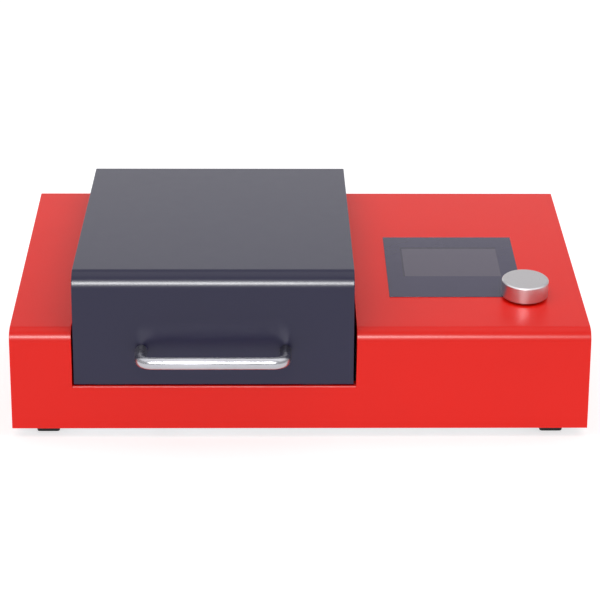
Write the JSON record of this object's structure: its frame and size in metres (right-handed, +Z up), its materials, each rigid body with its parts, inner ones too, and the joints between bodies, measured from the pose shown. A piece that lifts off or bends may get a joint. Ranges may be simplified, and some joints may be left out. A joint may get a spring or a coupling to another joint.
{
  "type": "uv post-curing unit",
  "caption": "Bench-top curing unit: sheet-metal housing with a sloping deck, hinged hood over a lit glass-floored chamber, display panel and turning dial.",
  "frame": {"origin": "middle of the outline seen from above, on the surface under the feet", "axes": "+X to the right along the front, +Y to the back, +Z up"},
  "size_m": [0.485, 0.329, 0.1598],
  "materials": {
    "red_coat": "satin powder coat with a fine orange peel",
    "slate_coat": "satin powder coat with a fine orange peel",
    "zinc_sheet": "zinc-plated sheet",
    "stainless": "satin ground stainless steel",
    "turned_aluminium": "fine turned and clear anodised, bright chamfer",
    "bright_aluminium": "bright rolled reflector sheet",
    "plain_aluminium": "extruded, natural",
    "black_rubber": "matt",
    "clear_glass": "polished, clear",
    "window_film": "glossy printed front film",
    "circuit_board": "solder resist",
    "white_board": "white solder resist on an aluminium core",
    "diode": "ceramic package with a clear lens",
    "screen": "liquid-crystal screen, switched off",
    "black_plastic": "fine moulded grain",
    "gloss_black": "polished moulding",
    "zinc_screw": "zinc-plated",
    "black_screw": "black oxide",
    "contact_brass": "nickel-plated tips",
    "perforated_case": "plain sheet case"
  },
  "bodies": {
    "housing": {"housing_shell": "red_coat", "base_plate": "zinc_sheet", "rear_panel": "red_coat", "rear_panel_screws": "zinc_screw", "base_screws": "zinc_screw", "foot_front_left": "black_rubber", "foot_front_right": "black_rubber", "foot_rear_left": "black_rubber", "foot_rear_right": "black_rubber", "chamber_tub": "bright_aluminium", "chamber_rail_left": "zinc_sheet", "chamber_rail_right": "zinc_sheet", "rail_screws": "zinc_screw", "chamber_glass": "clear_glass", "lower_heat_sink": "plain_aluminium", "lower_lamp_board": "white_board", "lower_diodes": "diode", "partition_panel": "zinc_sheet", "hood_buffers": "black_rubber", "reed_switch": "black_plastic", "hinge_fixed_leaf": "stainless", "hinge_pin": "stainless", "hinge_fixed_screws": "zinc_screw", "display_overlay": "window_film", "display_module": "screen", "control_board": "circuit_board", "driver_board": "circuit_board", "board_standoffs": "contact_brass", "board_screws": "zinc_screw", "encoder_body": "stainless", "encoder_nut": "zinc_screw", "fan_frame": "black_plastic", "fan_guard": "stainless", "fan_screws": "black_screw", "inlet_body": "black_plastic", "inlet_contacts": "contact_brass", "inlet_screws": "black_screw", "power_supply": "perforated_case", "supply_terminals": "black_plastic"},
    "hood": {"hood_shell": "slate_coat", "hood_handle": "stainless", "handle_screws": "zinc_screw", "hinge_hood_leaf": "stainless", "hinge_hood_screws": "zinc_screw", "upper_heat_sink": "plain_aluminium", "upper_lamp_board": "white_board", "upper_diodes": "diode", "reflector_tray": "bright_aluminium", "hood_glass": "clear_glass", "tray_nuts": "zinc_screw", "hood_magnet": "stainless"},
    "plunger": {"encoder_plunger": "black_plastic"},
    "dial": {"dial_knob": "turned_aluminium", "encoder_shaft": "stainless", "knob_set_screw": "black_screw"},
    "fan": {"fan_rotor": "black_plastic"},
    "rocker": {"power_rocker": "gloss_black"},
    "drawer": {"fuse_drawer": "black_plastic", "fuse": "clear_glass"}
  },
  "joints": [
    {"name": "hood_hinge", "type": "hinge", "parent": "housing", "child": "hood", "pos_m": [-0.0726, 0.16036, 0.13302], "axis": [-1, 0, 0], "range_deg": [0, 78]},
    {"name": "dial_press", "type": "slide", "parent": "housing", "child": "plunger", "axis": [0, 0.1426, -0.9898], "range_m": [0, 0.0005], "stiffness_N_per_m": 6000},
    {"name": "dial_turn", "type": "hinge", "parent": "plunger", "child": "dial", "pos_m": [0.1933, -0.06109, 0.10337], "axis": [0, -0.1426, 0.9898], "continuous": true},
    {"name": "fan_spin", "type": "hinge", "parent": "housing", "child": "fan", "pos_m": [0.184, 0.1435, 0.0696], "axis": [0, 1, 0], "continuous": true},
    {"name": "rocker_tilt", "type": "hinge", "parent": "housing", "child": "rocker", "pos_m": [0.0971, 0.1575, 0.0791], "axis": [0, 0, -1], "range_deg": [0, 16]},
    {"name": "drawer_slide", "type": "slide", "parent": "housing", "child": "drawer", "axis": [0, 1, 0], "range_m": [0, 0.016]}
  ]
}
